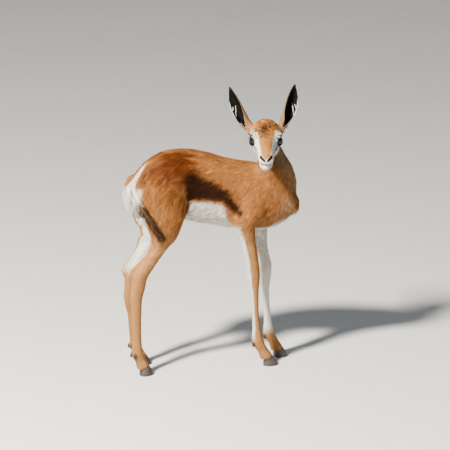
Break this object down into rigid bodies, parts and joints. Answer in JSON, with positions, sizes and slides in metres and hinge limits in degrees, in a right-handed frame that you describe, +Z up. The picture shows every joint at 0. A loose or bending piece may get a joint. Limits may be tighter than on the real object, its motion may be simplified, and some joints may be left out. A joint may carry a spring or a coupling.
{
  "type": "springbok lamb model",
  "caption": "Life-size still model of a standing springbok lamb, hornless, with slender cloven-hoofed legs, tall cupped ears and its head turned back over its right side",
  "frame": {"origin": "on the floor under the middle of the whole model's box", "axes": "+X the way the body faces, +Y to the animal's left, +Z up; the head looks toward -Y"},
  "size_m": [0.4545, 0.2516, 0.7286],
  "materials": {
    "coat_back": "short flat orange-brown fur with a dark brown band above a white belly",
    "coat_leg": "short flat orange-fawn fur, white inside and behind",
    "coat_face": "short fur, white with an orange-brown crown and nose bridge and a brown line below each eye",
    "ear_hair": "short pale fur outside, near-black hollow with white hair streaks inside",
    "tail_brush": "thin white root and a dark brown brush",
    "eye": "wet glossy near-black",
    "hoof_horn": "dark grey horn, satin and finely ringed",
    "dewclaw_horn": "near-black horn, satin"
  },
  "bodies": {
    "root": {"dewclaw_fore_left_a": "dewclaw_horn", "dewclaw_fore_left_b": "dewclaw_horn", "dewclaw_fore_right_a": "dewclaw_horn", "dewclaw_fore_right_b": "dewclaw_horn", "dewclaw_hind_left_a": "dewclaw_horn", "dewclaw_hind_left_b": "dewclaw_horn", "dewclaw_hind_right_a": "dewclaw_horn", "dewclaw_hind_right_b": "dewclaw_horn", "ear_left": "ear_hair", "ear_right": "ear_hair", "eye_left": "eye", "eye_right": "eye", "fore_left_cannon": "coat_leg", "fore_left_upper": "coat_leg", "fore_right_cannon": "coat_leg", "fore_right_upper": "coat_leg", "head": "coat_face", "hind_left_cannon": "coat_leg", "hind_left_upper": "coat_leg", "hind_right_cannon": "coat_leg", "hind_right_upper": "coat_leg", "hoof_fore_left_a": "hoof_horn", "hoof_fore_left_b": "hoof_horn", "hoof_fore_right_a": "hoof_horn", "hoof_fore_right_b": "hoof_horn", "hoof_hind_left_a": "hoof_horn", "hoof_hind_left_b": "hoof_horn", "hoof_hind_right_a": "hoof_horn", "hoof_hind_right_b": "hoof_horn", "neck": "coat_face", "tail": "tail_brush", "torso": "coat_back"}
  },
  "joints": []
}
